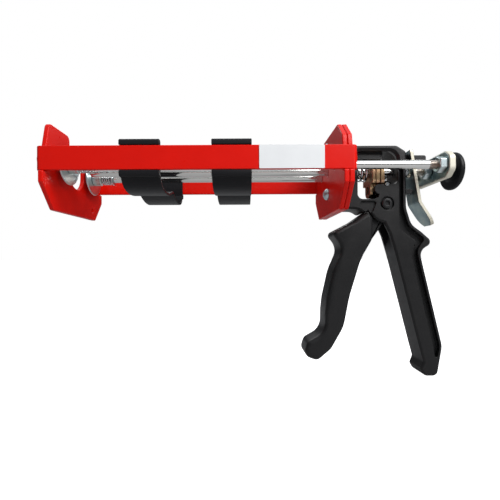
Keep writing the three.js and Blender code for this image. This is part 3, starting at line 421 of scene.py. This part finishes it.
for node in ("side_rod_left", "side_rod_right"):
    low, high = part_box(node)
    head_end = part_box("push_disc_left")[0].x - HEAD_CLEAR
    profile = [
        (low.x, 0), *((low.x + depth, radius) for depth, radius in HEAD_CROWN),
        (head_end - HEAD_BREAK, HEAD_RIM), (head_end, HEAD_RIM - HEAD_BREAK), (head_end, ROD),
        (THREAD_AT - RUN_OUT, ROD), (THREAD_AT, THREAD_ROOT), *thread(THREAD_START, high.x - 0.0012),
        (high.x - 0.0008, THREAD_ROOT), (high.x, THREAD_ROOT - END_BREAK), (high.x, 0),
    ]
    piece(node, turned(node, profile), bright_chrome, soft_below=28)

low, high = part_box("centre_rod")
profile = [
    (low.x, 0), (low.x, ROD - 0.001), (low.x + 0.0003, ROD - 0.0006), (low.x + 0.0009, ROD),
    (THREAD_AT - RUN_OUT, ROD), (THREAD_AT, THREAD_ROOT), *thread(THREAD_START, YOKE_BACK),
    (YOKE_BACK + END_BREAK, THREAD_ROOT), (high.x - END_BREAK, THREAD_ROOT),
    (high.x, THREAD_ROOT - END_BREAK), (high.x, 0),
]
piece("centre_rod", turned("centre_rod", profile), bright_chrome, soft_below=28)

# --------------------------------------------------------------------------------------- discs and hubs
# Pressed steel push discs with a rolled rim, turned hubs behind them with a groove, and the clips of
# their springs. Zinc plated: a bluish, slightly cloudy bright grey that turns creamy where it is thick.

ROD_HOLE = 0.0043
HOLE_BREAK = 0.0002
BOSS, BOSS_ROOT, BOSS_BACK = 0.0088, 0.0096, 0.0092  # the flat ring round the hole
DISH = 0.00035
HUB_BREAK = 0.001
RING_BREAK = 0.0003
GROOVE_FROM, GROOVE_TO, GROOVE_DEPTH = 0.0032, 0.0018, 0.0004  # from the hub's rear end

zinc = Finish("zinc_plate", {"Metallic": 1})
cloud = zinc.noise(26, detail=4, lumps=0.6)
brushed = zinc.noise(1, stretch=(900, 60, 900), detail=3)
zinc.feed("Base Color", zinc.shades(
    cloud, (0.30, (0.40, 0.49, 0.53)), (0.50, (0.55, 0.61, 0.62)), (0.72, (0.68, 0.68, 0.61))
))
zinc.feed("Roughness", cloud * 0.16 + brushed * 0.12 + 0.16)
zinc.relief(brushed * 0.5 + zinc.noise(700, detail=2) * 0.5, 0.00002)

for side in ("left", "right"):
    node = "push_disc_" + side
    low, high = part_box(node)
    rim = high.z - middle(node).z
    profile = [
        (low.x + HOLE_BREAK, ROD_HOLE), (low.x, ROD_HOLE + HOLE_BREAK), (low.x, BOSS),
        (low.x + DISH, BOSS_ROOT), (low.x + DISH, rim - 0.0024), (low.x, rim - 0.0016),
        (low.x + 0.0001, rim - 0.0006), (low.x + 0.0005, rim - 0.0001), (low.x + 0.0009, rim),
        (high.x - 0.0004, rim - 0.0001), (high.x, rim - 0.0005), (high.x, BOSS_BACK),
        (high.x, ROD_HOLE + HOLE_BREAK), (high.x - HOLE_BREAK, ROD_HOLE),
    ]
    piece(node, turned(node, profile, steps=96), zinc, soft_below=40)

    node = "disc_hub_" + side
    low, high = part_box(node)
    rim = high.z - middle(node).z
    groove_from, groove_to, groove_floor = high.x - GROOVE_FROM, high.x - GROOVE_TO, rim - GROOVE_DEPTH
    profile = [
        (low.x + HOLE_BREAK, ROD_HOLE), (low.x, ROD_HOLE + HOLE_BREAK), (low.x, rim - RING_BREAK),
        (low.x + RING_BREAK, rim), (groove_from, rim), (groove_from + GROOVE_DEPTH, groove_floor),
        (groove_to - GROOVE_DEPTH, groove_floor), (groove_to, rim), (high.x - HUB_BREAK, rim),
        (high.x, rim - HUB_BREAK), (high.x, ROD_HOLE + HOLE_BREAK), (high.x - HOLE_BREAK, ROD_HOLE),
    ]
    piece(node, turned(node, profile), zinc, soft_below=28)

    node = "spring_clip_" + side
    low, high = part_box(node)
    rim = high.z - middle(node).z
    profile = [
        (low.x, ROD_HOLE), (low.x, rim - RING_BREAK), (low.x + RING_BREAK, rim),
        (high.x - RING_BREAK, rim), (high.x, rim - RING_BREAK), (high.x, ROD_HOLE),
    ]
    piece(node, turned(node, profile), zinc, soft_below=50)

# ---------------------------------------------------------------------------------------------- springs
# Coiled from bright hard-drawn wire, with the first and last turns closed up: two small ones behind the
# push discs, the big return spring on the centre rod and the short one that tips the release lever.

CLOSED_TURNS = 0.8
CLOSED_PITCH = 2.1  # of the closed turns, in wire radii
WIRE_SIDES = 16
STEPS_PER_TURN = 40

spring_wire = Finish("spring_wire", {"Metallic": 1})
streak = spring_wire.noise(220, detail=4)
spring_wire.feed("Base Color", spring_wire.mix(streak, (0.46, 0.47, 0.49), (0.72, 0.73, 0.74)))
spring_wire.feed("Roughness", streak * 0.14 + 0.12)
spring_wire.relief(spring_wire.noise(2500), 0.00001)


def coiled(node, wire, turns):
    """A coil spring that fills a CAD spring's box."""
    low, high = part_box(node)
    centre = middle(node)
    radius = (high.y - low.y) / 2 - wire
    closed_rise = CLOSED_PITCH * wire * CLOSED_TURNS
    open_turns = turns - 2 * CLOSED_TURNS
    open_rise = high.x - low.x - 2 * wire - 2 * closed_rise
    bm = bmesh.new()
    bmesh.ops.create_circle(bm, segments=WIRE_SIDES, radius=wire)
    bmesh.ops.translate(bm, verts=bm.verts, vec=(low.x + wire, centre.y + radius, centre.z))
    loop = list(bm.edges)
    for part, rise in ((CLOSED_TURNS, closed_rise), (open_turns, open_rise), (CLOSED_TURNS, closed_rise)):
        steps = round(part * STEPS_PER_TURN)
        step_rise = (rise / steps, 0, 0)
        grown = bmesh.ops.spin(
            bm, geom=loop, cent=centre, axis=(1, 0, 0), dvec=step_rise, angle=2 * pi * part, steps=steps
        )
        loop = [g for g in grown["geom_last"] if isinstance(g, bmesh.types.BMEdge)]
    bmesh.ops.holes_fill(bm, edges=[e for e in bm.edges if e.is_boundary])
    bmesh.ops.recalc_face_normals(bm, faces=bm.faces)
    return bm


for node, wire, turns in (
    ("disc_spring_left", 0.0007, 4.5),
    ("disc_spring_right", 0.0007, 4.5),
    ("return_spring", 0.00105, 5.5),
    ("release_spring", 0.0005, 3),
):
    piece(node, coiled(node, wire, turns), spring_wire, soft_below=60)

# ----------------------------------------------------------------------------------------- yoke and nuts
# The yoke ties the three rods together: 6 mm steel with its corners cut, held by a lock nut in front on
# each rod. Zinc plated: the sheet's faces are a blue-green darkened as a painted dark reflection, and its
# cut edges are painted cream as a painted highlight, where they face the lamps.

NUT_EDGE = 0.0003
FACES_ALONG_X = 0.75  # a face whose normal has less of X than this is a cut edge

zinc_sheet = Finish("zinc_sheet")
# Mask of the cut edges, which get a painted highlight: cream and less metallic, so that the lamps light
# them.
painted_edge_highlight = zinc_sheet.node("ShaderNodeAttribute", {"attribute_name": "cut_edge"}, out="Fac")
patch = zinc_sheet.noise(55, detail=4, lumps=0.6)
rolled = zinc_sheet.noise(1, stretch=(300, 1400, 90), detail=3)
# The plating's blue-green on the faces, darkened as a painted dark reflection.
blue_green = zinc_sheet.shades(
    patch, (0.34, (0.17, 0.23, 0.26)), (0.52, (0.30, 0.38, 0.38)), (0.68, (0.46, 0.50, 0.44))
)
highlight_cream = zinc_sheet.mix(patch, (0.62, 0.58, 0.46), (0.76, 0.73, 0.62))
zinc_sheet.feed("Base Color", zinc_sheet.mix(painted_edge_highlight, blue_green, highlight_cream))
zinc_sheet.feed("Metallic", 1 - painted_edge_highlight * 0.8)
zinc_sheet.feed("Roughness", patch * 0.16 + rolled * 0.12 + painted_edge_highlight * 0.12 + 0.16)
zinc_sheet.relief(rolled * 0.5 + patch * 0.5, 0.00003)


def cut_sheet(node, edge):
    """A piece of thick sheet that lies across X: its cut edges are marked for the finish."""
    bm = from_cad(node)
    cut_edge = bm.faces.layers.float.new("cut_edge")
    for face in bm.faces:
        face.normal_update()
        face[cut_edge] = 0 if abs(face.normal.x) > FACES_ALONG_X else 1
    piece(node, bm, zinc_sheet, edge=edge)


for node in ("lock_nut_left", "lock_nut_right", "lock_nut_centre"):
    piece(node, from_cad(node), zinc, edge=NUT_EDGE)
cut_sheet("yoke", edge=0.0006)

# -------------------------------------------------------------------------------------------- pull knob
# A mushroom of black phenolic, moulded with a crowned face and a plain neck, and screwed onto the centre
# rod's thread. It shares the saddles' black.

NECK, NECK_HOLE, CAP = 0.008, 0.004, 0.006
ROD_END_CLEAR = 0.0003
HOLE_LIP, NECK_BREAK = 0.0003, 0.0005
UNDER_CAP = [(-0.003, 0), (-0.0016, 0.0004), (-0.0006, 0.0013), (0, 0.003)]  # cove from neck to cap
CAP_FRONT = [(0, 0.0018), (0.0003, 0.0008), (0.0009, 0.0002), (0.0018, 0)]
CROWN = [(0.0030, 0), (0.0019, 0.0003), (0.0010, 0.0011), (0.0004, 0.0024), (0, 0.0045)]

low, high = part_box("pull_knob")
rim = high.z - middle("pull_knob").z
face = high.x - CAP
profile = [
    (face + ROD_END_CLEAR, 0), (face + ROD_END_CLEAR, NECK_HOLE), (low.x + HOLE_LIP, NECK_HOLE),
    (low.x, NECK_HOLE + HOLE_LIP), (low.x, NECK - NECK_BREAK), (low.x + NECK_BREAK, NECK),
    *((face + forward, NECK + out) for forward, out in UNDER_CAP),
    *((face + back, rim - inward) for back, inward in CAP_FRONT),
    *((high.x - forward, rim - inward) for forward, inward in CROWN), (high.x, 0),
]
piece("pull_knob", turned("pull_knob", profile, steps=96), black_nylon, soft_below=35)

# ----------------------------------------------------------------------------------------- body casting
# Pressure die-cast aluminium in one piece: front box, top arm, rear post, cheeks and the fixed handle.
# Its satin black stove enamel follows the cast skin, which is faintly pebbled and wavy.

black_enamel = Finish("black_enamel", {"Specular IOR Level": 0.3})
skin = black_enamel.noise(650, detail=3, lumps=0.55)
wave = black_enamel.noise(75, detail=2)
black_enamel.feed("Base Color", black_enamel.mix(wave, (0.0065, 0.0065, 0.007), (0.0105, 0.010, 0.0105)))
black_enamel.feed("Roughness", wave * 0.14 + skin * 0.10 + 0.28)
black_enamel.relief(skin * 0.35 + wave * 0.65, 0.00012)
piece("body_casting", from_cad("body_casting"), black_enamel, edge=0.0003, edge_steps=2)

# --------------------------------------------------------------------------------------- mounting bolts
# Two zinc-plated bolts, one above the other, that clamp the casting to the rear plates from inside the
# bay. Their heads are round, with a recess for the driver.

BOLT_SHANK, BOLT_HEAD_HEIGHT = 0.003, 0.0042
BOLT_RECESS, BOLT_RECESS_DEPTH = 0.0018, 0.0009
BOLT_END_BREAK = 0.0004

for node in ("mounting_bolt_upper", "mounting_bolt_lower"):
    low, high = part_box(node)
    head, head_root = high.z - middle(node).z, low.x + BOLT_HEAD_HEIGHT
    turns = [radians(a) for a in range(22, 91, 8)]
    dome = [(head_root - BOLT_HEAD_HEIGHT * cos(a), head * sin(a)) for a in turns]
    profile = [
        (low.x + BOLT_RECESS_DEPTH, 0), (low.x + BOLT_RECESS_DEPTH, BOLT_RECESS), *dome,
        (head_root, head), (head_root, BOLT_SHANK), (high.x - BOLT_END_BREAK, BOLT_SHANK),
        (high.x, BOLT_SHANK - BOLT_END_BREAK), (high.x, 0),
    ]
    piece(node, turned(node, profile, steps=48), zinc)

# ------------------------------------------------------------------------------------------ grip plates
# The drive plate with its slotted tongue and the two grip plates that jam on the centre rod: hardened
# steel, blanked, tumbled and given a yellow-brown chromate that shades into olive and violet.

GRIP_EDGE = 0.0004

chromate = Finish("brown_chromate", {"Metallic": 1})
drift = chromate.noise(70, detail=4, lumps=0.6)
tumbled = chromate.noise(900, detail=3)
chromate.feed("Base Color", chromate.shades(
    drift, (0.30, (0.27, 0.15, 0.11)), (0.48, (0.47, 0.29, 0.17)), (0.62, (0.50, 0.36, 0.20)),
    (0.78, (0.36, 0.24, 0.22)),
))
chromate.feed("Roughness", tumbled * 0.16 + 0.30)
chromate.relief(tumbled, 0.00003)
for node in ("drive_plate", "grip_plate_front", "grip_plate_rear"):
    piece(node, from_cad(node), chromate, edge=GRIP_EDGE)

# ---------------------------------------------------------------------------------------------- trigger
# Die-cast like the body and enamelled black. Its core passes between the cheeks and carries a hardened
# roller on a pin in its nose, which pushes the grip plates.

ROLLER_HOLE, ROLLER_BREAK = 0.0023, 0.0004
PIN_BREAK = 0.0003

piece("trigger", from_cad("trigger"), black_enamel, edge=0.0008, soft_below=50)

low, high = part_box("nose_roller")
rim = high.z - middle("nose_roller").z
profile = [
    (low.y, ROLLER_HOLE), (low.y, rim - ROLLER_BREAK), (low.y + ROLLER_BREAK, rim),
    (high.y - ROLLER_BREAK, rim), (high.y, rim - ROLLER_BREAK), (high.y, ROLLER_HOLE),
]
piece("nose_roller", turned("nose_roller", profile, steps=64, along_y=True), spring_wire)

low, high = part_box("roller_pin")
rim = high.z - middle("roller_pin").z
profile = [
    (low.y, 0), (low.y, rim - PIN_BREAK), (low.y + PIN_BREAK, rim), (high.y - PIN_BREAK, rim),
    (high.y, rim - PIN_BREAK), (high.y, 0),
]
piece("roller_pin", turned("roller_pin", profile, steps=64, along_y=True), spring_wire)

# ------------------------------------------------------------------------------------------- pivot bolt
# Low-headed socket bolt in black oxide, sunk in the left cheek, through the trigger, with a zinc-plated
# nut on the right cheek.

PIVOT_EDGE = 0.0003

black_oxide = Finish("black_oxide", {"Metallic": 0.3, "Specular IOR Level": 0.4})
mottle = black_oxide.noise(500)
black_oxide.feed("Base Color", black_oxide.mix(mottle, (0.010, 0.010, 0.011), (0.022, 0.022, 0.023)))
black_oxide.feed("Roughness", black_oxide.noise(300, detail=3) * 0.15 + 0.25)
piece("pivot_bolt", from_cad("pivot_bolt"), black_oxide, edge=PIVOT_EDGE)
piece("pivot_nut", from_cad("pivot_nut"), zinc, edge=PIVOT_EDGE)

# ---------------------------------------------------------------------------------------- release lever
# A bent strip of 3 mm steel, zinc plated like the yoke and slotted over the casting's hook. Pushing its
# thumb tab forward frees the rods.

cut_sheet("release_lever", edge=0.0004)
